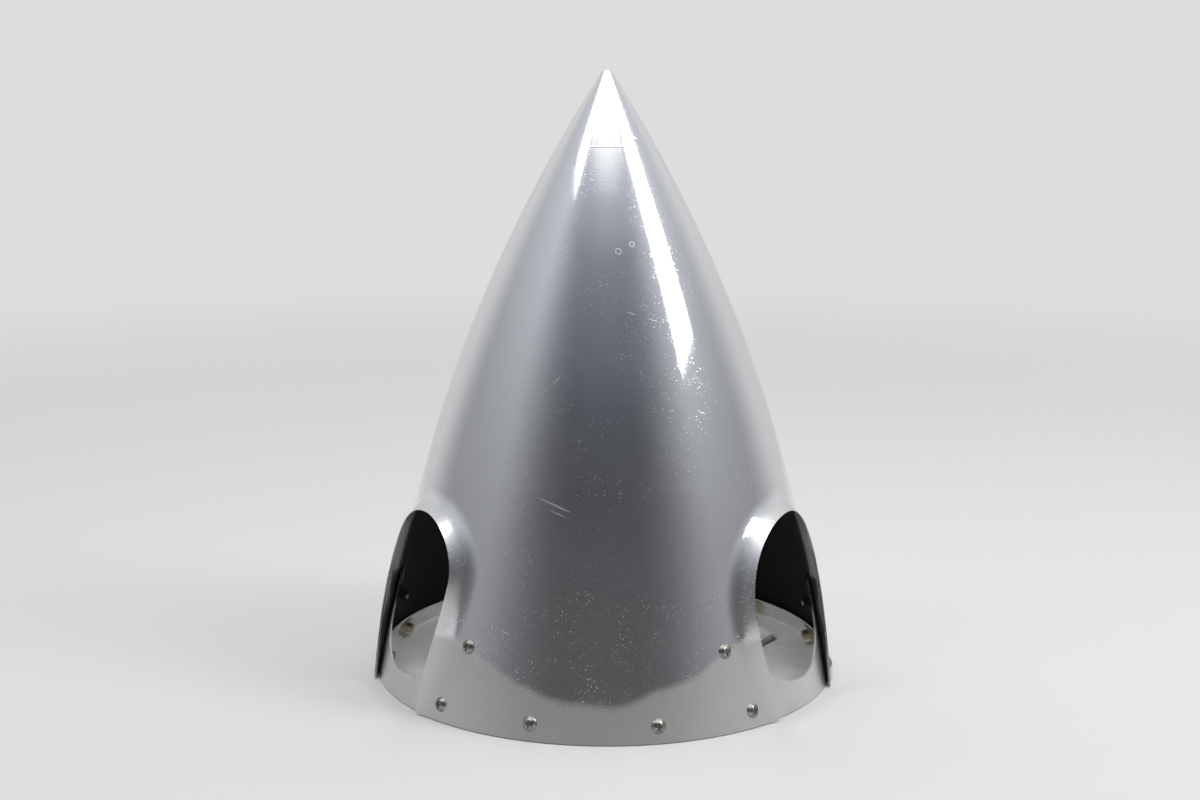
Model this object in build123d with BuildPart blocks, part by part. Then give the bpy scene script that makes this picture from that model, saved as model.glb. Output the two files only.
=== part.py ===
"""Polished spinner of a three-blade aircraft propeller: shell, bulkhead, filler plates and fasteners.

The origin is on the spin axis in the plane of the aft rim, and +Z runs forward to the tip.
Lengths are in millimetres and angles in degrees, measured about +Z from +X.
"""
import os
from math import asin, ceil, cos, degrees, radians, sin, sqrt, tan

from build123d import *

# ---------- Driving dimensions ----------
# Blade axes point outward at these angles round the spin axis
blade_count = 3
first_blade_angle = -30.0

# Spun shell: a straight cone, an arc that leaves it tangentially, and a ball at the tip
base_radius = 178.0
cone_angle = 13.9
cone_height = 124.0
ogive_radius = 1089.0
nose_angle = 32.0
nose_ball_radius = 5.0
shell_thickness = 1.6

# Blade opening in the shell, seen along the blade axis: it is wider and higher on its leading side
slot_foot = 41.15
slot_lead = 53.6
slot_lead_height = 96.5
slot_trail = 51.2
slot_trail_height = 71.0
slot_top_height = 139.9
slot_top_lean = 9.3
slot_lead_fullness = 0.515
slot_trail_fullness = 0.58
slot_corner_radius = 4.5

# Lip drawn outward round each blade opening: its rise grows from the aft rim up to its full height
lip_foot_rise = 3.0
lip_rise = 9.2
lip_width = 15.0
lip_runout = 101.0
lip_overrun = 3.0

# Filler plate behind the lower part of each blade opening, seen along the blade axis
filler_thickness = 1.2
filler_side_margin = 16.7
filler_height = 76.0
filler_corner_radius = 18.0
filler_web_height = 19.6
filler_cutout_half_width = 53.5
filler_cutout_depth = 40.0

# Bulkhead pan and its hub opening, a triangle with cut corners
bulkhead_thickness = 2.0
bulkhead_flange_height = 15.5
bulkhead_bend_radius = 5.0
hub_flat_distance = 88.5
hub_corner_distance = 143.5
hub_corner_radius = 3.0
hub_lip_height = 5.0
hub_bolt_circle_radius = 103.0
hub_bolt_hole_radius = 4.2

# Screws with domed cross-recess heads, in a row round the aft rim and beside the blade openings
screw_shank_radius = 2.4
screw_length = 12.0
screw_head_radius = 5.3
screw_head_height = 2.7
recess_length = 5.2
recess_width = 1.3
recess_depth = 1.6
base_screw_height = 11.7
base_screw_angles = (-39.4, -14.8, 14.8, 39.4)
upper_screw_height = 55.5
upper_screw_angles = (-33.5, 33.5)

# Nutplates behind the screws
nutplate_length = 25.0
nutplate_width = 9.6
nutplate_thickness = 1.0
nutplate_barrel_radius = 3.9
nutplate_barrel_height = 5.5

# Flush rivets that hold each filler plate to the bulkhead flange
rivet_angles = (-26.2, -14.9, 14.9, 26.2)
rivet_radius = 1.6
rivet_head_radius = 2.6
rivet_head_angle = 100.0
rivet_tail_radius = 2.4
rivet_tail_height = 1.6

# Clearances between pieces that lie on each other, and round what passes through a hole
seat_gap = 0.1
hole_gap = 0.1

# Spacing of the lofted sections and of the points on each of them
section_step = 6.0
lip_angle_step = 1.8
plain_angle_step = 6.0

# How far cuts reach past the shell, and how closely the skirt and the nose meet where they are joined
cut_reach = 40.0
seam_tolerance = 0.001

# ---------- Derived sizes ----------
blade_pitch = 360.0 / blade_count
blade_angles = [first_blade_angle + blade_pitch * number for number in range(blade_count)]
sector_angles = [angle - blade_pitch / 2 for angle in blade_angles]
skirt_height = slot_top_height + 2 * lip_width
cut_length = base_radius + cut_reach
filler_inset = shell_thickness + seat_gap
filler_inner_inset = filler_inset + filler_thickness
flange_inset = filler_inner_inset + seat_gap
flange_inner_inset = flange_inset + bulkhead_thickness
screw_hole_radius = screw_shank_radius + hole_gap
screw_hole_depth = screw_length + hole_gap

cone_top_radius = base_radius - cone_height * tan(radians(cone_angle))
ogive_centre_radius = cone_top_radius - ogive_radius * cos(radians(cone_angle))
ogive_centre_height = cone_height - ogive_radius * sin(radians(cone_angle))
nose_cone_radius = ogive_centre_radius + ogive_radius * cos(radians(nose_angle))
nose_cone_height = ogive_centre_height + ogive_radius * sin(radians(nose_angle))
nose_ball_offset = nose_cone_radius * cos(radians(nose_angle)) - nose_ball_radius
nose_ball_drop = nose_ball_offset / sin(radians(nose_angle))
nose_ball_height = nose_cone_height + nose_ball_drop


def profile_radius(height, inset=0.0):
    """Radius of the plain shell at a height, on the surface that lies inset inside the outer one."""
    if height <= cone_height - inset * sin(radians(cone_angle)):
        return base_radius - height * tan(radians(cone_angle)) - inset / cos(radians(cone_angle))
    rise = height - ogive_centre_height
    return ogive_centre_radius + sqrt((ogive_radius - inset) ** 2 - rise**2)


# The filler plates reach past the upper screws by the side margin
upper_screw_turn = radians(blade_pitch / 2 - max(upper_screw_angles))
filler_half_width = profile_radius(upper_screw_height) * sin(upper_screw_turn) + filler_side_margin


def blade_plane(angle):
    """Plane through the origin square to a blade axis: x runs to the leading side and y forward."""
    turn = radians(angle)
    return Plane(origin=(0, 0, 0), x_dir=(-sin(turn), cos(turn), 0), z_dir=(cos(turn), sin(turn), 0))


def seat_plane(angle, height, inset=0.0):
    """Plane that touches the cone, or the surface that lies inset inside it, with z outward."""
    turn = radians(angle)
    slope = radians(cone_angle)
    outward = Vector(cos(turn) * cos(slope), sin(turn) * cos(slope), sin(slope))
    radius = profile_radius(height)
    point = Vector(radius * cos(turn), radius * sin(turn), height) - outward * inset
    return Plane(origin=point, x_dir=(-sin(turn), cos(turn), 0), z_dir=outward)


def export_piece(piece, name):
    """Label one finished piece and write it to its own file."""
    piece.label = name
    export_step(piece, f"parts/{name}.step")


os.makedirs("parts", exist_ok=True)


# ---------- Blade opening, seen along the blade axis ----------
def round_quarter(start, corner, end, fullness):
    """Quarter of an oval from start to end that bulges toward the corner."""
    start, corner, end = Vector(start), Vector(corner), Vector(end)
    Bezier(start, start + (corner - start) * fullness, end + (corner - end) * fullness, end)


def slot_side(foot, widest, height):
    """Side of the blade opening from its foot at the aft rim up to its widest point."""
    low_handle = (foot + (widest - foot) / 4, height / 3)
    high_handle = (widest, height * 2 / 3)
    Bezier((foot, 0), low_handle, high_handle, (widest, height))


with BuildSketch() as slot:
    with BuildLine():
        slot_top = (slot_top_lean, slot_top_height)
        slot_side(slot_foot, slot_lead, slot_lead_height)
        lead_corner = (slot_lead, slot_top_height)
        round_quarter((slot_lead, slot_lead_height), lead_corner, slot_top, slot_lead_fullness)
        trail_corner = (-slot_trail, slot_top_height)
        round_quarter(slot_top, trail_corner, (-slot_trail, slot_trail_height), slot_trail_fullness)
        slot_side(-slot_foot, -slot_trail, slot_trail_height)
        Polyline((-slot_foot, 0), (-slot_foot, -cut_reach), (slot_foot, -cut_reach), (slot_foot, 0))
    make_face()
slot_face = slot.face()
slot_wire = slot_face.outer_wire()

# The opening as a cutter, with the shell's corners rounded where its sides meet the aft rim
with BuildSketch() as slot_cutter:
    add(slot.sketch)
    Rectangle(2 * slot_foot + 4 * slot_corner_radius, cut_reach, align=(Align.CENTER, Align.MAX))
    feet = slot_cutter.vertices().filter_by_position(Axis.X, -slot_foot - seat_gap, slot_foot + seat_gap)
    fillet(feet.filter_by_position(Axis.Y, -seat_gap, seat_gap), slot_corner_radius)


# ---------- Lofted skirt: the cone with a lip swelling out round each blade opening ----------
def lip_lift(offset, height):
    """How far the lip stands out of the plain shell at a point seen along the blade axis."""
    point = Vector(offset, height)
    distance = slot_wire.distance_to(point)
    if slot_face.is_inside(point):
        distance = -min(distance, lip_overrun)
    if distance >= lip_width:
        return 0.0
    runout = 1 - min(height / lip_runout, 1.0)
    rise = lip_rise - (lip_rise - lip_foot_rise) * runout**2
    return rise * (1 - distance / lip_width) ** 2


# Angles from a blade axis across one pitch, close together where the lip is
lip_span = degrees(asin((slot_lead + 2 * lip_width) / profile_radius(skirt_height)))
plain_span = blade_pitch - 2 * lip_span
lip_steps = ceil(lip_span / lip_angle_step)
plain_steps = ceil(plain_span / plain_angle_step)
point_angles = [lip_span * step / lip_steps for step in range(-lip_steps, lip_steps)]
point_angles += [lip_span + plain_span * step / plain_steps for step in range(plain_steps)]

section_count = ceil(skirt_height / section_step)
section_heights = [skirt_height * step / section_count for step in range(section_count + 1)]


def section_lifts(height):
    """Lift of the lip at each point of one blade pitch."""
    crest_radius = profile_radius(height) + lip_rise / 2
    near = [angle for angle in point_angles if angle < lip_span]
    lifts = [lip_lift(crest_radius * sin(radians(angle)), height) for angle in near]
    return lifts + [0.0] * (len(point_angles) - len(near))


def skirt_section(height, lifts, inset=0.0):
    """Closed section of the skirt at a height."""
    points = []
    turns = []
    for blade_angle in blade_angles:
        for angle, lift in zip(point_angles, lifts):
            turn = radians(blade_angle + angle)
            radius = profile_radius(height, inset) + lift
            points.append((radius * cos(turn), radius * sin(turn)))
            turns.append(turn)
    turns.append(turns[0] + radians(360))
    with BuildSketch(Plane.XY.offset(height)) as section:
        with BuildLine():
            add(Edge.make_spline(points, periodic=True, parameters=turns))
        make_face()
    return section.sketch


def nose_sheet():
    """Half section of the nose from the top of the skirt to the tip, on one side of the spin axis."""
    start_rise = skirt_height - ogive_centre_height
    with BuildSketch(Plane.XZ) as sheet:
        with BuildLine():
            ends = []
            for inset in (0.0, shell_thickness):
                radius = ogive_radius - inset
                start = degrees(asin(start_rise / radius))
                centre = (ogive_centre_radius, ogive_centre_height)
                ogive = CenterArc(centre, radius, start, nose_angle - start)
                ball_centre = (0, nose_ball_height)
                ball = CenterArc(ball_centre, nose_ball_radius - inset, nose_angle, 90 - nose_angle)
                Line(ogive @ 1, ball @ 0)
                ends.append((ogive @ 0, ball @ 1))
            outer_ends, inner_ends = ends
            Line(outer_ends[0], inner_ends[0])
            Line(outer_ends[1], inner_ends[1])
        make_face()
    return sheet.sketch


lift_table = {height: section_lifts(height) for height in section_heights}
outer_sections = [skirt_section(height, lifts) for height, lifts in lift_table.items()]
inner_sections = [skirt_section(-section_step, lift_table[0.0], shell_thickness)]
for height, lifts in lift_table.items():
    inner_sections.append(skirt_section(height, lifts, shell_thickness))


# ---------- Seats of the fasteners ----------
def seat_row(centres, turns, height, inset=0.0):
    """Seats at the same turns on either side of each centre angle."""
    return [seat_plane(centre + turn, height, inset) for centre in centres for turn in turns]


base_seats = seat_row(sector_angles, base_screw_angles, base_screw_height)
upper_seats = seat_row(sector_angles, upper_screw_angles, upper_screw_height)
rivet_seats = seat_row(blade_angles, rivet_angles, base_screw_height, filler_inset)

# ---------- Shell ----------
with BuildPart() as skirt:
    loft(outer_sections)
    loft(inner_sections, mode=Mode.SUBTRACT)

with BuildPart() as nose:
    revolve(nose_sheet(), axis=Axis.Z)

with BuildPart() as shell:
    add(skirt.part.fuse(nose.part, tol=seam_tolerance))
    for angle in blade_angles:
        with BuildSketch(blade_plane(angle)):
            add(slot_cutter.sketch)
        extrude(amount=cut_length, mode=Mode.SUBTRACT)
    with Locations(*base_seats, *upper_seats):
        Hole(screw_hole_radius, screw_hole_depth)
export_piece(shell.part, "spinner_shell")

# ---------- Bulkhead: a pan with a flange that nests in the shell, and a lipped hub opening ----------
with BuildSketch() as hub_opening:
    corner_turn = first_blade_angle
    flat_turn = corner_turn + blade_pitch / 2
    RegularPolygon(hub_flat_distance, blade_count, major_radius=False, rotation=flat_turn)
    RegularPolygon(
        hub_corner_distance, blade_count, major_radius=False, rotation=corner_turn, mode=Mode.INTERSECT
    )
    fillet(hub_opening.vertices(), hub_corner_radius)

with BuildPart() as bulkhead:
    with BuildSketch(Plane.XZ) as pan:
        with BuildLine():
            outer_foot = (profile_radius(0, flange_inset), 0)
            outer_top = (profile_radius(bulkhead_flange_height, flange_inset), bulkhead_flange_height)
            inner_top = (profile_radius(bulkhead_flange_height, flange_inner_inset), bulkhead_flange_height)
            inner_foot = (profile_radius(bulkhead_thickness, flange_inner_inset), bulkhead_thickness)
            inner_centre = (0, bulkhead_thickness)
            Polyline((0, 0), outer_foot, outer_top, inner_top, inner_foot, inner_centre, close=True)
        make_face()
        bends = pan.vertices().sort_by(Axis.X)[-4:].sort_by(Axis.Y)[:2]
        fillet(bends[0], bulkhead_bend_radius + bulkhead_thickness)
        fillet(bends[1], bulkhead_bend_radius)
    revolve(axis=Axis.Z)
    with BuildSketch():
        add(hub_opening.sketch)
        offset(amount=bulkhead_thickness)
    extrude(amount=bulkhead_thickness + hub_lip_height)
    with BuildSketch():
        add(hub_opening.sketch)
    extrude(amount=bulkhead_thickness + hub_lip_height, mode=Mode.SUBTRACT)
    with PolarLocations(hub_bolt_circle_radius, blade_count, start_angle=first_blade_angle):
        Hole(hub_bolt_hole_radius)
    with Locations(*base_seats):
        Hole(screw_hole_radius, screw_hole_depth)
    with Locations(*rivet_seats):
        Hole(rivet_radius + hole_gap, screw_hole_depth)
export_piece(bulkhead.part, "bulkhead")

# ---------- Filler plates: curved sheets just inside the shell, cut out below each blade ----------
with BuildSketch(Plane.XZ) as filler_wall:
    with BuildLine():
        outer_foot = (profile_radius(0, filler_inset), 0)
        outer_top = (profile_radius(filler_height, filler_inset), filler_height)
        inner_top = (profile_radius(filler_height, filler_inner_inset), filler_height)
        inner_foot = (profile_radius(0, filler_inner_inset), 0)
        Polyline(outer_foot, outer_top, inner_top, inner_foot, close=True)
    make_face()

with BuildSketch() as filler_outline:
    Rectangle(2 * filler_half_width, filler_height, align=(Align.CENTER, Align.MIN))
    fillet(filler_outline.vertices().group_by(Axis.Y)[-1], filler_corner_radius)
    with Locations((0, filler_web_height + filler_cutout_depth)):
        Ellipse(filler_cutout_half_width, filler_cutout_depth, mode=Mode.SUBTRACT)
        above = (Align.CENTER, Align.MIN)
        Rectangle(2 * filler_cutout_half_width, filler_height, align=above, mode=Mode.SUBTRACT)

filler_depth = filler_thickness + seat_gap + bulkhead_thickness
for number, angle in enumerate(blade_angles, start=1):
    with BuildPart() as filler:
        revolve(filler_wall.sketch, axis=Axis.Z)
        with BuildSketch(blade_plane(angle)):
            add(filler_outline.sketch)
        extrude(amount=cut_length, mode=Mode.INTERSECT)
        with Locations(*base_seats, *upper_seats):
            Hole(screw_hole_radius, screw_hole_depth)
        with Locations(*seat_row([angle], rivet_angles, base_screw_height, filler_inset)):
            rivet_hole_radius = rivet_radius + hole_gap
            CounterSinkHole(rivet_hole_radius, rivet_head_radius + hole_gap, filler_depth, rivet_head_angle)
    export_piece(filler.part, f"filler_plate_{number}")

# ---------- Screws ----------
with BuildPart() as screw:
    with BuildSketch(Plane.XZ):
        with BuildLine():
            crown_radius = (screw_head_radius**2 + screw_head_height**2) / (2 * screw_head_height)
            crown = RadiusArc((screw_head_radius, 0), (0, screw_head_height), -crown_radius)
            shank_end = (screw_shank_radius, -screw_length)
            Polyline(crown @ 1, (0, -screw_length), shank_end, (screw_shank_radius, 0), crown @ 0)
        make_face()
    revolve(axis=Axis.Z)
    with BuildSketch(Plane.XY.offset(screw_head_height)):
        Rectangle(recess_length, recess_width)
        Rectangle(recess_width, recess_length)
    extrude(amount=-recess_depth, mode=Mode.SUBTRACT)

# ---------- Nutplates: an oval plate with a threaded barrel on the inside ----------
with BuildPart() as nutplate:
    with BuildSketch():
        SlotOverall(nutplate_length, nutplate_width)
    extrude(amount=-nutplate_thickness)
    with BuildSketch():
        Circle(nutplate_barrel_radius)
    extrude(amount=-nutplate_thickness - nutplate_barrel_height)
    Hole(screw_hole_radius)


def nutplate_sag(inset):
    """Depth of the hollow between a flat nutplate and the curved surface that its ends touch."""
    return nutplate_length**2 / (8 * (base_radius - inset)) + seat_gap


rows = (("base", base_seats, flange_inner_inset), ("upper", upper_seats, filler_inner_inset))
for prefix, seats, inset in rows:
    for number, seat in enumerate(seats, start=1):
        export_piece(screw.part.moved(seat.location), f"{prefix}_screw_{number}")
        nutplate_place = seat.offset(-inset - nutplate_sag(inset)).location
        export_piece(nutplate.part.moved(nutplate_place), f"{prefix}_nutplate_{number}")

# ---------- Rivets: flush heads in the filler plates, formed tails inside the flange ----------
with BuildPart() as rivet:
    with BuildSketch(Plane.XZ):
        with BuildLine():
            head_depth = (rivet_head_radius - rivet_radius) / tan(radians(rivet_head_angle / 2))
            tail_top = -filler_depth - seat_gap
            tail_end = tail_top - rivet_tail_height
            head_foot = (rivet_radius, -head_depth)
            shank = Polyline((0, 0), (rivet_head_radius, 0), head_foot, (rivet_radius, tail_top))
            tail_edge = (rivet_tail_radius, tail_end)
            Polyline(shank @ 1, (rivet_tail_radius, tail_top), tail_edge, (0, tail_end), shank @ 0)
        make_face()
    revolve(axis=Axis.Z)

for number, angle in enumerate(blade_angles, start=1):
    seats = seat_row([angle], rivet_angles, base_screw_height, filler_inset)
    group = Compound(children=[rivet.part.moved(seat.location) for seat in seats])
    export_piece(group, f"filler_rivets_{number}")
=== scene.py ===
"""Looks of a polished three-blade propeller spinner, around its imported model. Lengths are in metres."""
import math

import bmesh
import bpy
from mathutils import Matrix, Vector


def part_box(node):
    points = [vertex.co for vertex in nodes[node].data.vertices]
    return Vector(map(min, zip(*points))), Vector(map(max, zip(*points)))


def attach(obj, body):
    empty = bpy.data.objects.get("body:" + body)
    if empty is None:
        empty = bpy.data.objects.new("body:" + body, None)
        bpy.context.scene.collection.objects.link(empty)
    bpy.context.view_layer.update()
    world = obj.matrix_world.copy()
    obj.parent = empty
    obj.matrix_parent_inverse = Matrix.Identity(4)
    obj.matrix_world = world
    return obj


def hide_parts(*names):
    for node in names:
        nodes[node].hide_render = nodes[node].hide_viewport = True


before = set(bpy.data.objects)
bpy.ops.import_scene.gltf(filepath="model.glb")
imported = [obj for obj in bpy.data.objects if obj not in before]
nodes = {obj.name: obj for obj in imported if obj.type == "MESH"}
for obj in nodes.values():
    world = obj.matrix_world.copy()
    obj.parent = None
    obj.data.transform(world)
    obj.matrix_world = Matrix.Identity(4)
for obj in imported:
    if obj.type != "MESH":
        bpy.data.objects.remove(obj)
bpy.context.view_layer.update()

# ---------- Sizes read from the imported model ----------
shell_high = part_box("spinner_shell")[1]
rim_radius = shell_high.x
shell_height = shell_high.z
blade_angles = [math.radians(angle) for angle in (-30, 90, 210)]
sheet_thickness = 0.0016

# Half section of the shell: a cone, an arc that leaves it tangentially, and a ball at the tip
cone_angle = math.radians(13.9)
cone_slope = math.tan(cone_angle)
cone_height = 0.124
ogive_radius = 1.089
nose_angle = math.radians(32)
ball_radius = 0.005
ogive_x = rim_radius - cone_height * cone_slope - ogive_radius * math.cos(cone_angle)
ogive_z = cone_height - ogive_radius * math.sin(cone_angle)
ball_z = shell_height - ball_radius

# Blade opening seen along its blade axis, x toward the leading side, and the lip drawn out round it
opening_foot = 0.04115
opening_lead = Vector((0.0536, 0.0965))
opening_top = Vector((0.0093, 0.1399))
opening_trail = Vector((-0.0512, 0.071))
lead_fullness = 0.515
trail_fullness = 0.58
corner_radius = 0.0045
lip_foot_rise = 0.003
lip_rise = 0.0092
lip_width = 0.015
lip_runout = 0.101
skirt_height = opening_top.y + 2 * lip_width

# How finely the shell is modelled. Rows of points run from the edge of an opening outward: the lip rows come
# first, over the lip's width and half as much again, and grow in spacing. The plain rows fill the rest.
curve_steps = 80
corner_steps = 12
side_count = 90
top_count = 108
lip_rows = 14
plain_rows = 9
lip_row_reach = 1.5 * lip_width
lip_row_growth = 1.2
nose_rings = 30
ball_rings = 8
half_third = math.radians(60)
weld_distance = 0.00002
smooth_limit = math.radians(40)

# The outline from which the lip is measured: its steps, how far it is carried below the rim, and how many
# steps to each side are searched for the nearest point
outline_steps = 260
outline_depth = 0.02
outline_window = 60

# Marks on the polished shell: the centre and radius of each round knock mark, how its line fades, the line
# turned below the tip, and how fine the scratches are
knocks = (
    ((0.0115, -0.0716, 0.3295), 0.0024),
    ((0.0210, -0.0680, 0.3345), 0.0018),
    ((0.031, -0.0925, 0.293), 0.0016),
    ((-0.051, -0.093, 0.270), 0.0022))
knock_line = (0.0006, 0.0001)
tip_line_height = 0.402
tip_line_fade = (0.0007, 0.0002)
scratch_fineness = 260

# Satin zone along the aft rim: where it fades out, and how much it widens toward the openings
satin_top = 0.0310
satin_full = 0.0205
satin_widening = 0.18

# Depths of the polished surface's waves, polishing lines, rubbing, marks and turned line, then of the grain
# of the filler plates, the turned lines of the bulkhead and the pitting of the screws
wave_depth = 0.0016
ring_depth = 0.000018
rub_depth = 0.000016
mark_depth = 0.00003
tip_line_depth = 0.00004
grain_depth = 0.00003
turned_depth = 0.00001
pitting_depth = 0.00004

# Surroundings, lamps and camera
floor_radius = 7.0
floor_drop = 0.0006
floor_fade = (0.7, 2.4)
floor_tone = 0.63
backdrop_tone = 0.72
lamp_distance = 2.4
inside_lamp_height = 0.22
camera_place = (0.05547, -1.3490, 0.4703)
camera_heading, camera_pitch, camera_roll = (math.radians(angle) for angle in (2.530, 10.984, 0.230))


# ---------- Shader helpers ----------
class Shade:
    """One socket of a node tree. Arithmetic on it adds Math nodes."""

    def __init__(self, tree, socket=None):
        self.tree = tree
        self.socket = socket

    def node(self, kind, settings, inputs, output=0):
        """Adds a node, applies its settings, then the values or links of its sockets."""
        made = self.tree.nodes.new("ShaderNode" + kind)
        for name, value in settings.items():
            if name == "stops":
                ramp = made.color_ramp.elements
                while len(ramp) < len(value):
                    ramp.new(1.0)
                for stop, (place, colour) in zip(ramp, value):
                    stop.position = place
                    stop.color = colour
            else:
                setattr(made, name, value)
        for name, value in inputs.items():
            if isinstance(value, Shade):
                self.tree.links.new(value.socket, made.inputs[name])
            else:
                made.inputs[name].default_value = value
        return Shade(self.tree, made.outputs[output])

    def maths(self, operation, *values):
        return self.node("Math", {"operation": operation}, dict(enumerate(values)))

    def __add__(self, other):
        return self.maths("ADD", self, other)

    def __sub__(self, other):
        return self.maths("SUBTRACT", self, other)

    def __rsub__(self, other):
        return self.maths("SUBTRACT", other, self)

    def __mul__(self, other):
        return self.maths("MULTIPLY", self, other)

    def __truediv__(self, other):
        return self.maths("DIVIDE", self, other)

    def step(self, low, high):
        """0 below low and 1 above high, with a smooth rise between. High may be below low."""
        return self.node(
            "MapRange", {"interpolation_type": "SMOOTHSTEP"},
            {"Value": self, "From Min": low, "From Max": high})

    def between(self, low, high):
        """Mixes two numbers, this value being the share of the second."""
        return self * (high - low) + low

    def blend(self, first, second):
        """Mixes two colours, this value being the share of the second."""
        return self.node(
            "Mix", {"data_type": "RGBA"}, {"Factor": self, 6: first, 7: second}, output=2)

    def vector(self, operation, *values, output=0):
        return self.node("VectorMath", {"operation": operation}, dict(enumerate(values)), output)

    def axes(self):
        return [self.node("SeparateXYZ", {}, {0: self}, output=axis) for axis in range(3)]

    def joined(self, x, y, z):
        return self.node("CombineXYZ", {}, {0: x, 1: y, 2: z})

    def noise(self, scale, detail=2.0, roughness=0.5):
        """Noise about one half, on this vector."""
        return self.node(
            "TexNoise", {}, {"Vector": self, "Scale": scale, "Detail": detail, "Roughness": roughness})

    def cells(self, scale):
        """Distance to the nearest of scattered points, on this vector."""
        return self.node("TexVoronoi", {}, {"Vector": self, "Scale": scale})


def object_place(shade):
    """The place of a point, in the object's own coordinates."""
    return shade.node("TexCoord", {}, {}, output=3)


def object_facing(shade):
    """The direction in which the surface faces, in the object's own coordinates."""
    return shade.node("TexCoord", {}, {}, output=1)


def flat_length(shade, x, y):
    """Distance from the spin axis, or the level part of a direction."""
    return shade.maths("SQRT", x * x + y * y)


def grey(level, tint=(1.0, 1.0, 1.0)):
    return (level * tint[0], level * tint[1], level * tint[2], 1.0)


def new_material(name):
    """A material with an empty tree, and the helper that adds to it."""
    made = bpy.data.materials.new(name)
    made.use_nodes = True
    made.node_tree.nodes.clear()
    return made, Shade(made.node_tree)


def finish_material(shade, surface):
    output = shade.tree.nodes.new("ShaderNodeOutputMaterial")
    shade.tree.links.new(surface.socket, output.inputs["Surface"])


def principled(shade, **values):
    names = {"colour": "Base Color", "roughness": "Roughness", "metallic": "Metallic", "normal": "Normal",
             "specular": "Specular IOR Level"}
    return shade.node("BsdfPrincipled", {}, {names[name]: value for name, value in values.items()})


def bump(shade, height, depth, normal=None):
    """Normal of a surface raised by height, 0 to 1, times depth in metres."""
    inputs = {"Height": height, "Distance": depth, "Strength": 1.0}
    if normal is not None:
        inputs["Normal"] = normal
    return shade.node("Bump", {}, inputs)


def sheet_sides(shade, place, facing):
    """How far a point lies along the nearest blade axis, and masks of the sheet's inner side and cut edge."""
    nearest = facing_blade = None
    for angle in blade_angles:
        axis = (math.cos(angle), math.sin(angle), 0.0)
        along = place.vector("DOT_PRODUCT", place, axis, output=1)
        turned = facing.vector("DOT_PRODUCT", facing, axis, output=1)
        if nearest is None:
            nearest, facing_blade = along, turned
        else:
            nearer = shade.maths("GREATER_THAN", along, nearest)
            facing_blade = facing_blade + nearer * (turned - facing_blade)
            nearest = shade.maths("MAXIMUM", nearest, along)
    # An inner side faces away from the blade axis, and a cut edge lies across it
    inner_side = facing_blade.step(-0.06, -0.16)
    edge = shade.maths("ABSOLUTE", facing_blade).step(0.05, 0.02)
    return nearest, inner_side, edge


def give(material, *names):
    """Assigns a material to the slots of CAD nodes."""
    for name in names:
        for slot in nodes[name].material_slots:
            slot.material = material


def give_toned(name, pieces, tone_scale, limits, colours, metallic, polish, **constants):
    """Gives pieces a material whose colour and roughness wander, each between two values."""
    made, shade = new_material(name)
    tone = object_place(shade).noise(tone_scale, 3.0)
    share = tone.step(*limits) if limits else tone
    finish_material(shade, principled(
        shade, colour=share.blend(*colours), metallic=metallic, roughness=tone.between(*polish), **constants))
    give(made, *pieces)


def add_object(name, data):
    """An object that shows the data, in the scene."""
    made = bpy.data.objects.new(name, data)
    bpy.context.scene.collection.objects.link(made)
    return made


# ---------- Shell modelled finely, with even lips round its blade openings ----------
def shell_radius(height, inset=0.0):
    """Radius of the plain shell at a height, on the surface that lies inset inside the outer one."""
    if height <= cone_height - inset * math.sin(cone_angle):
        return rim_radius - height * cone_slope - inset / math.cos(cone_angle)
    return ogive_x + math.sqrt((ogive_radius - inset) ** 2 - (height - ogive_z) ** 2)


def bezier(share, points):
    """Point of a cubic curve."""
    first, second, third, fourth = (Vector(point) for point in points)
    rest = 1 - share
    return (first * rest**3 + second * (3 * share * rest**2) + third * (3 * share**2 * rest)
            + fourth * share**3)


def opening_side(widest, side):
    """Side of the opening from its foot up to its widest point. Side is 1 or -1."""
    foot = Vector((side * opening_foot, 0.0))
    low_handle = (foot.x + (widest.x - foot.x) / 4, widest.y / 3)
    high_handle = (widest.x, widest.y * 2 / 3)
    handles = (foot, low_handle, high_handle, widest)
    return [bezier(step / curve_steps, handles) for step in range(curve_steps + 1)]


def opening_quarter(widest, fullness):
    """Top quarter of the opening from its widest point to its top."""
    corner = Vector((widest.x, opening_top.y))
    first_handle = widest + (corner - widest) * fullness
    last_handle = opening_top + (corner - opening_top) * fullness
    handles = (widest, first_handle, last_handle, opening_top)
    return [bezier(step / curve_steps, handles) for step in range(curve_steps + 1)]


def rounded_foot(side):
    """Arc of the sheet's corner between the aft rim and the side of the opening."""
    centre = Vector((side * (opening_foot + corner_radius), corner_radius))
    turns = [math.pi / 2 * step / corner_steps for step in range(corner_steps)]
    return [centre + Vector((-side * math.sin(turn), -math.cos(turn))) * corner_radius for turn in turns]


def spaced(points, count):
    """The same outline with evenly spaced points."""
    lengths = [0.0]
    for first, second in zip(points, points[1:]):
        lengths.append(lengths[-1] + (second - first).length)
    evened = []
    place = 0
    for step in range(count + 1):
        target = lengths[-1] * step / count
        while place < len(points) - 2 and lengths[place + 1] < target:
            place += 1
        span = max(lengths[place + 1] - lengths[place], 1e-9)
        evened.append(points[place].lerp(points[place + 1], (target - lengths[place]) / span))
    return evened


def distance_to(outline, point):
    """Shortest distance from a point to an open outline."""
    best = 1.0
    for first, second in zip(outline, outline[1:]):
        along = second - first
        share = min(max((point - first).dot(along) / along.length_squared, 0.0), 1.0)
        best = min(best, (first + along * share - point).length)
    return best


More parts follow.
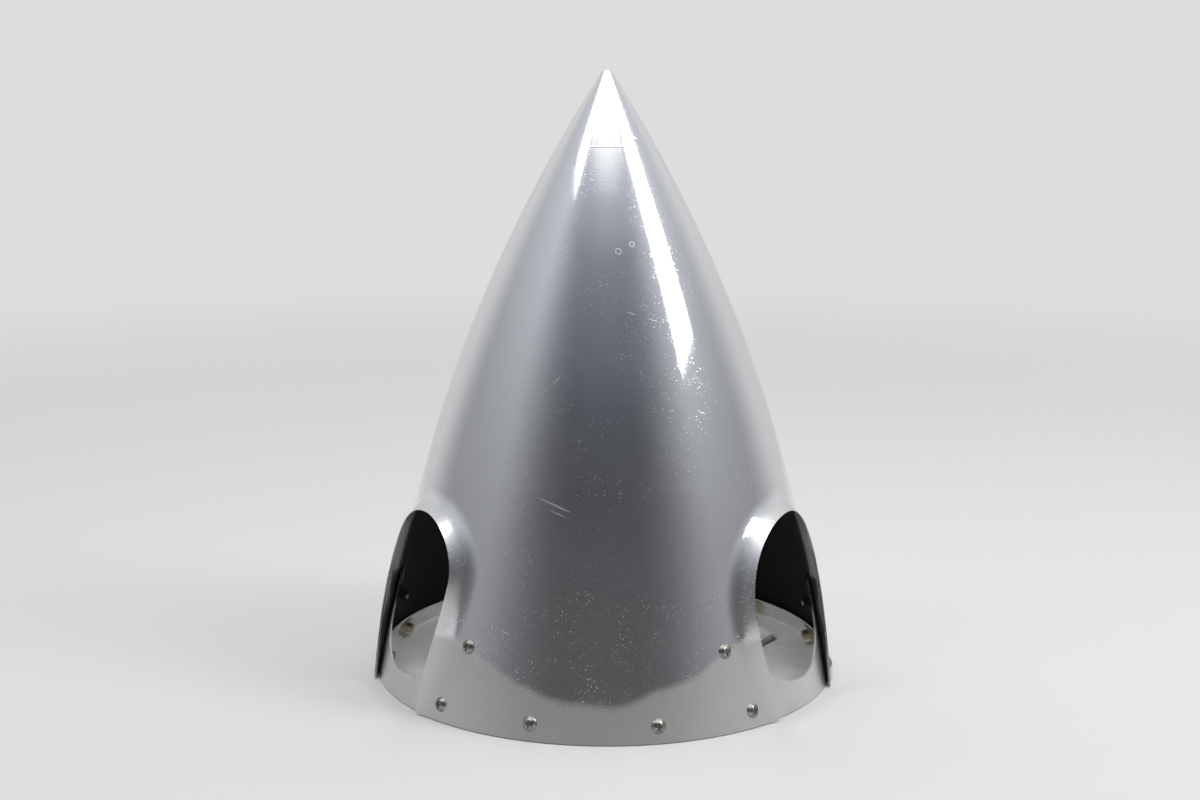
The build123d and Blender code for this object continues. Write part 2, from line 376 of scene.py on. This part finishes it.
# The outline that the lip follows, and the edge where the mesh starts, with rounded corners at its foot
lead_side = opening_side(opening_lead, 1) + opening_quarter(opening_lead, lead_fullness)[1:]
trail_side = opening_side(opening_trail, -1) + opening_quarter(opening_trail, trail_fullness)[1:]
below_lead = Vector((opening_foot, -outline_depth))
below_trail = Vector((-opening_foot, -outline_depth))
lip_outline = spaced([below_lead] + lead_side + trail_side[-2::-1] + [below_trail], outline_steps)
lead_edge = rounded_foot(1) + [point for point in lead_side if point.y > corner_radius]
trail_edge = rounded_foot(-1) + [point for point in trail_side if point.y > corner_radius]
opening_edge = spaced(lead_edge + trail_edge[-2::-1], 2 * side_count + top_count)


def outer_end(step):
    """Where a line of the mesh that leaves the opening's edge ends, on the border of its third of shell."""
    if side_count <= step <= side_count + top_count:
        turn = half_third * (1 - 2 * (step - side_count) / top_count)
        return Vector((shell_radius(skirt_height) * math.sin(turn), skirt_height))
    if step < side_count:
        height = skirt_height * step / side_count
        return Vector((shell_radius(height) * math.sin(half_third), height))
    height = skirt_height * (2 * side_count + top_count - step) / side_count
    return Vector((-shell_radius(height) * math.sin(half_third), height))


def third_grid():
    """Rows of points of one third of the shell, outward from the opening's edge.

    Each point has its offset sideways, its height, its lift by the lip, and its share of the way out.
    """
    rows = []
    for row in range(lip_rows + plain_rows + 1):
        line = []
        for step, edge in enumerate(opening_edge):
            ray = outer_end(step) - edge
            lip_share = lip_row_reach / ray.length
            distance = lip_width
            if row <= lip_rows:
                point = edge + ray * (lip_share * (row / lip_rows) ** lip_row_growth)
                near = lip_outline[max(step - outline_window, 0):step + outline_window]
                distance = distance_to(near, point)
            else:
                point = edge + ray * (lip_share + (1 - lip_share) * (row - lip_rows) / plain_rows)
            runout = 1 - min(point.y / lip_runout, 1.0)
            rise = lip_rise - (lip_rise - lip_foot_rise) * runout**2
            lift = rise * (1 - distance / lip_width) ** 2 if distance < lip_width else 0.0
            line.append((point.x, point.y, lift, row / (lip_rows + plain_rows)))
        rows.append(line)
    return rows


def nose_rows(inset):
    """Radius and height of the rings from the top of the skirt to just below the tip."""
    radius = ogive_radius - inset
    start = math.asin((skirt_height - ogive_z) / radius)
    rings = []
    for step in range(nose_rings + 1):
        turn = start + (nose_angle - start) * step / nose_rings
        rings.append((ogive_x + radius * math.cos(turn), ogive_z + radius * math.sin(turn)))
    ball = ball_radius - inset
    for step in range(ball_rings):
        turn = nose_angle + (math.pi / 2 - nose_angle) * step / ball_rings
        rings.append((ball * math.cos(turn), ball_z + ball * math.sin(turn)))
    return rings


def add_shell_mesh():
    """One closed mesh of the shell, its outer and inner surfaces joined along the rim and the openings."""
    mesh = bmesh.new()
    grid = third_grid()
    last = len(opening_edge) - 1
    for angle in blade_angles:
        sheets = []
        for inset in (0.0, sheet_thickness):
            sheet = []
            for line in grid:
                row = []
                for offset, height, lift, share in line:
                    outer = shell_radius(height) + lift
                    radius = shell_radius(height, inset) + lift
                    outer_turn = math.asin(offset / outer)
                    cut_turn = math.asin(min(max(offset / radius, -1.0), 1.0))
                    turn = angle + cut_turn + (outer_turn - cut_turn) * share
                    row.append(mesh.verts.new((radius * math.cos(turn), radius * math.sin(turn), height)))
                sheet.append(row)
            sheets.append(sheet)
            for low, high in zip(sheet, sheet[1:]):
                for step in range(last):
                    mesh.faces.new((low[step], low[step + 1], high[step + 1], high[step]))
        outer, inner = sheets
        for step in range(last):
            mesh.faces.new((outer[0][step], outer[0][step + 1], inner[0][step + 1], inner[0][step]))
        for end in (0, last):
            for row in range(len(grid) - 1):
                mesh.faces.new((outer[row][end], outer[row + 1][end], inner[row + 1][end], inner[row][end]))
    ring_count = 3 * top_count
    for inset in (0.0, sheet_thickness):
        rings = []
        for radius, height in nose_rows(inset):
            ring = []
            for step in range(ring_count):
                turn = blade_angles[0] + math.tau * step / ring_count
                ring.append(mesh.verts.new((radius * math.cos(turn), radius * math.sin(turn), height)))
            rings.append(ring)
        for low, high in zip(rings, rings[1:]):
            for step in range(ring_count):
                after = (step + 1) % ring_count
                mesh.faces.new((low[step], low[after], high[after], high[step]))
        tip = mesh.verts.new((0.0, 0.0, ball_z + ball_radius - inset))
        for step in range(ring_count):
            mesh.faces.new((rings[-1][step], rings[-1][(step + 1) % ring_count], tip))
    bmesh.ops.remove_doubles(mesh, verts=mesh.verts, dist=weld_distance)
    bmesh.ops.recalc_face_normals(mesh, faces=mesh.faces)
    for face in mesh.faces:
        face.smooth = True
    data = bpy.data.meshes.new("shell_sheet")
    mesh.to_mesh(data)
    mesh.free()
    data.set_sharp_from_angle(angle=smooth_limit)
    made = add_object("shell_sheet", data)
    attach(made, "root")
    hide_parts("spinner_shell")
    return made


# ---------- Polished shell ----------
polished, s = new_material("polished_aluminium")
place = object_place(s)
x, y, z = place.axes()
radius = flat_length(s, x, y)
around_x = x / radius
around_y = y / radius

nearest, inner, cut_edge = sheet_sides(s, place, object_facing(s))
inside_lift = radius - (rim_radius - sheet_thickness - z * cone_slope)
outside_lift = radius - (rim_radius - z * cone_slope)
# Painted shade: the inner side of the shell, away from the lips, is coloured near black for the shade inside
# the shell
inside_painted_shade = inner * (1 - inside_lift.step(0.0004, 0.0050))

# Marks of the polishing wheel run round the cone, and hand rubbing crosses them
ring_lines = s.joined(around_x * 2.5, around_y * 2.5, z * 900).noise(1.0, 3.0, 0.6)
slow_rings = s.joined(around_x * 1.5, around_y * 1.5, z * 90).noise(1.0, 2.0)
rub_lines = s.joined(x * 9, y * 9, z * 420 + x * 130 + y * 60).noise(1.0, 3.0, 0.65)
rub_zone = place.noise(9.0, 2.0).step(0.48, 0.66)
haze_cloud = place.noise(14.0, 4.0, 0.6)
waviness = place.noise(7.0, 1.0)

# Scratches are thin crests of stretched noise, kept in patches
scratches = None
for turn, density, patch in ((0.35, 0.70, 0.1), (-0.8, 0.715, 3.1), (1.25, 0.72, 6.7)):
    across = z * (scratch_fineness * math.cos(turn)) + x * (scratch_fineness * math.sin(turn))
    tilt = s.joined(x * 20 + patch, across, y * 20)
    crest = tilt.noise(1.0, 2.0, 0.55).step(density, density + 0.03)
    kept = s.joined(x + patch, y, z).noise(16.0, 2.0).step(0.52, 0.6)
    mark = crest * kept
    scratches = mark if scratches is None else s.maths("MAXIMUM", scratches, mark)

# Specks and small pits, more of them toward the rim
speck_size = place.noise(40.0, 1.0).step(0.40, 0.66)
speck_zone = (z / shell_height).between(1.0, 0.35)
specks = place.cells(330.0).step(0.26, 0.12) * speck_size * speck_zone
dust = place.cells(900.0).step(0.22, 0.1) * place.noise(120.0, 1.0).step(0.5, 0.62) * speck_zone
marks = s.maths("MAXIMUM", s.maths("MAXIMUM", specks, dust * 0.7), scratches)

# Small round marks left by knocks, and a turned line below the tip
for knock, size in knocks:
    reach = place.vector("DISTANCE", place, knock, output=1)
    knock_mark = s.maths("ABSOLUTE", reach - size).step(*knock_line)
    marks = s.maths("MAXIMUM", marks, knock_mark * 0.8)
tip_line = s.maths("ABSOLUTE", z - tip_line_height).step(*tip_line_fade)

# Satin zone along the aft rim, which widens toward the blade openings and follows their lips
beside = nearest / radius - 0.5
wave = s.joined(around_x, around_y, 0.0).noise(5.0, 2.0).between(-0.006, 0.006)
band = (z - beside * beside * satin_widening - wave).step(satin_top, satin_full)
lip_side = outside_lift.step(0.0002, 0.0060) * (1 - inner)
satin = s.maths("MAXIMUM", band, lip_side * 0.5)
tip_haze = z.step(0.33, 0.44)

rough_sharp = (haze_cloud.between(0.045, 0.09) + satin * 0.24 + marks * 0.25 + cut_edge * 0.3
               + tip_haze * 0.07)
normal = bump(s, waviness, wave_depth)
normal = bump(s, ring_lines * 0.5 + slow_rings * 0.5, ring_depth, normal)
normal = bump(s, rub_lines * rub_zone, rub_depth, normal)
normal = bump(s, marks, mark_depth, normal)
normal = bump(s, tip_line, tip_line_depth, normal)
bare = grey(0.86, (0.985, 0.995, 1.02))
dulled = grey(0.62, (1.0, 0.99, 0.95))
# Near black colour of the inner side, which is painted shade
painted_shade_black = grey(0.004)
metal_colour_with_painted_shade = s.maths("MINIMUM", satin * 0.85 + marks * 0.3, 1.0).blend(bare, dulled)
# Painted shade: the inner face of the lip is coloured dark grey for the shade inside the shell
metal_colour_with_painted_shade = inner.blend(metal_colour_with_painted_shade, grey(0.24, (1.0, 0.99, 0.96)))
colour = inside_painted_shade.blend(metal_colour_with_painted_shade, painted_shade_black)
sharp = principled(s, colour=colour, metallic=1 - inside_painted_shade, roughness=rough_sharp, normal=normal)
hazy = principled(
    s, colour=colour, metallic=1 - inside_painted_shade, roughness=inside_painted_shade.between(0.42, 0.6), specular=0.1,
    normal=normal)
haze_share = (haze_cloud.between(0.06, 0.24) + satin * 0.6 + marks * 0.5 + inside_painted_shade + inner * 0.5
              + cut_edge * 0.7)
surface = s.node("MixShader", {}, {"Fac": haze_share.step(0.0, 1.0), 1: sharp, 2: hazy})
finish_material(s, surface)
give(polished, "spinner_shell")
add_shell_mesh().data.materials.append(polished)

# ---------- Sheets of the filler plates and the bulkhead ----------
filler_sheet, s = new_material("satin_aluminium_sheet")
place = object_place(s)
x, y, z = place.axes()
inner, cut_edge = sheet_sides(s, place, object_facing(s))[1:]
radius = flat_length(s, x, y)
grain = s.joined(x / radius * 60, y / radius * 60, z * 6).noise(1.0, 3.0, 0.6)
stain = place.noise(22.0, 5.0, 0.6)
rubbed = s.joined(x * 30, y * 400 + x * 120, z * 30).noise(1.0, 3.0).step(0.62, 0.7)
sheet_colour_and_painted_light = stain.step(0.3, 0.7).blend(grey(0.60, (1.0, 0.99, 0.97)), grey(0.72, (1.0, 1.0, 0.99)))
# Painted highlight: the cut edge is coloured light for its rim lit from above
sheet_colour_and_painted_light = cut_edge.blend(sheet_colour_and_painted_light, grey(0.9))
# Painted shade: the inner side, and the cut edge above its low lit part, are coloured near black for the
# shade inside the shell
filler_painted_shade = s.maths("MAXIMUM", inner, cut_edge * z.step(0.046, 0.058))
sheet_colour_and_painted_light = filler_painted_shade.blend(sheet_colour_and_painted_light, grey(0.006))
finish_material(s, principled(
    s, colour=sheet_colour_and_painted_light, metallic=filler_painted_shade.between(0.85, 0.0),
    roughness=stain.between(0.34, 0.46) + grain * 0.06 + rubbed * 0.08,
    normal=bump(s, grain, grain_depth)))
give(filler_sheet, *[name for name in nodes if name.startswith("filler_plate")])

bulkhead_sheet, s = new_material("bulkhead_aluminium")
place = object_place(s)
x, y, z = place.axes()
blotch = place.noise(30.0, 5.0, 0.62)
turned_lines = s.joined(flat_length(s, x, y) * 900, 0.0, 0.0).noise(1.0, 2.0)
bulkhead_colour = blotch.step(0.35, 0.68).blend(grey(0.74, (1.0, 0.995, 0.98)), grey(0.84, (1.0, 1.0, 0.99)))
finish_material(s, principled(
    s, colour=bulkhead_colour, metallic=0.12, roughness=blotch.between(0.38, 0.55),
    normal=bump(s, turned_lines, turned_depth)))
give(bulkhead_sheet, "bulkhead")

# ---------- Fasteners ----------
screw_steel, s = new_material("worn_dark_screw_steel")
place = object_place(s)
wear = place.noise(500.0, 4.0, 0.6)
screw_colour = wear.step(0.42, 0.66).blend(grey(0.22, (1.05, 0.98, 0.88)), grey(0.45, (1.02, 1.0, 0.95)))
finish_material(s, principled(
    s, colour=screw_colour, metallic=1.0, roughness=wear.between(0.22, 0.42),
    normal=bump(s, place.noise(900.0, 3.0), pitting_depth)))
give(screw_steel, *[name for name in nodes if "_screw_" in name])

give_toned(
    "yellow_plated_steel", [name for name in nodes if name.startswith("base_nutplate")], 260.0, (0.35, 0.65),
    (grey(0.62, (1.0, 0.90, 0.62)), grey(0.78, (1.0, 0.95, 0.76))), 0.9, (0.3, 0.5))
# Painted shade: the upper nutplates are coloured near black for the shade inside the shell
give_toned(
    "nutplate_painted_shade_black", [name for name in nodes if name.startswith("upper_nutplate")], 300.0, None,
    (grey(0.008), grey(0.02)), 0.0, (0.5, 0.7), specular=0.1)
give_toned(
    "rivet_aluminium", [name for name in nodes if "rivets" in name], 300.0, None,
    (grey(0.5), grey(0.68)), 0.9, (0.35, 0.5))

# ---------- Floor ----------
floor_mesh = bmesh.new()
bmesh.ops.create_circle(floor_mesh, cap_ends=True, segments=96, radius=floor_radius)
bmesh.ops.translate(floor_mesh, verts=floor_mesh.verts, vec=(0, 0, -floor_drop))
floor_data = bpy.data.meshes.new("floor")
floor_mesh.to_mesh(floor_data)
floor_mesh.free()
floor = add_object("floor", floor_data)
pale, s = new_material("pale_floor")
place = object_place(s)
far = place.vector("LENGTH", place, output=1).step(*floor_fade)
matt = principled(s, colour=grey(floor_tone), roughness=0.9)
clear = s.node("BsdfTransparent", {}, {})
finish_material(s, s.node("MixShader", {}, {"Fac": far, 1: matt, 2: clear}))
floor_data.materials.append(pale)

# ---------- Surroundings and lamps ----------
world = bpy.data.worlds.new("studio")
world.use_nodes = True
world.node_tree.nodes.clear()
s = Shade(world.node_tree)
dx, dy, dz = s.node("TexCoord", {}, {}, output=0).axes()
front_tone = s.node("ValToRGB", {"stops": [
    (0.00, grey(0.09)), (0.31, grey(0.075, (0.97, 1.0, 1.06))), (0.45, grey(0.09, (0.93, 1.0, 1.15))),
    (0.57, grey(0.15, (0.91, 0.99, 1.18))), (0.68, grey(0.22, (0.92, 1.0, 1.18))),
    (0.77, grey(0.45, (0.94, 0.99, 1.12))), (0.84, grey(1.3))]}, {0: dz})
# The small number keeps the division sound straight up and down
ahead = dy / (flat_length(s, dx, dy) + 0.0001)
side_tone = dz.step(0.0, 0.8).blend(grey(0.30, (0.98, 1.0, 1.04)), grey(0.62, (0.97, 1.0, 1.06)))
back_tone = dz.step(-0.1, 0.6).blend(grey(0.62), grey(0.75))
around = ahead.step(-0.96, -0.30).blend(front_tone, side_tone)
around = ahead.step(0.25, 0.8).blend(around, back_tone)
# What the camera sees behind the floor is plain, and reflections see the studio
seen = s.node("LightPath", {}, {}, output=0)
shown = seen.blend(around, grey(backdrop_tone))
background = s.node("Background", {}, {"Color": shown, "Strength": 1.0})
output = world.node_tree.nodes.new("ShaderNodeOutputWorld")
world.node_tree.links.new(background.socket, output.inputs["Surface"])
bpy.context.scene.world = world


def lamp(name, azimuth, elevation, width, length, brightness):
    """A soft panel that faces the shell. Azimuth is 0 toward -Y and grows toward +X, in degrees."""
    data = bpy.data.lights.new(name, "AREA")
    data.shape = "RECTANGLE"
    data.size = width
    data.size_y = length
    data.energy = brightness * math.pi * width * length
    made = add_object(name, data)
    turn = math.radians(azimuth)
    rise = math.radians(elevation)
    target = Vector((0, 0, shell_height / 2))
    toward_lamp = Vector((math.sin(turn) * math.cos(rise), -math.cos(turn) * math.cos(rise), math.sin(rise)))
    made.location = target + toward_lamp * lamp_distance
    made.rotation_euler = toward_lamp.to_track_quat("Z", "Y").to_euler()


lamp("overhead_panel", 0, 89.9, 2.4, 2.4, 1.5)
lamp("left_strip", -66, 54, 0.56, 0.6, 4.5)
lamp("right_strip", 75, 42, 0.80, 1.5, 5.6)

# A small soft lamp inside the shell shows the bulkhead, which the shell would leave in the dark
inside_data = bpy.data.lights.new("inside_lamp", "AREA")
inside_data.shape = "DISK"
inside_data.size = 0.12
inside_data.spread = math.radians(100)
inside_data.energy = 0.18
inside_lamp = add_object("inside_lamp", inside_data)
inside_lamp.location = (0, 0, inside_lamp_height)
inside_lamp.visible_camera = False
inside_lamp.visible_glossy = False

# ---------- Camera ----------
camera_data = bpy.data.cameras.new("camera")
camera_data.sensor_width = 36.0
camera_data.lens = 54.0
camera = add_object("camera", camera_data)
turn = Matrix.Rotation(camera_heading, 4, "Z") @ Matrix.Rotation(math.pi / 2 - camera_pitch, 4, "X")
camera.matrix_world = Matrix.Translation(camera_place) @ turn @ Matrix.Rotation(camera_roll, 4, "Z")
bpy.context.scene.camera = camera
bpy.context.scene.view_settings.view_transform = "Standard"
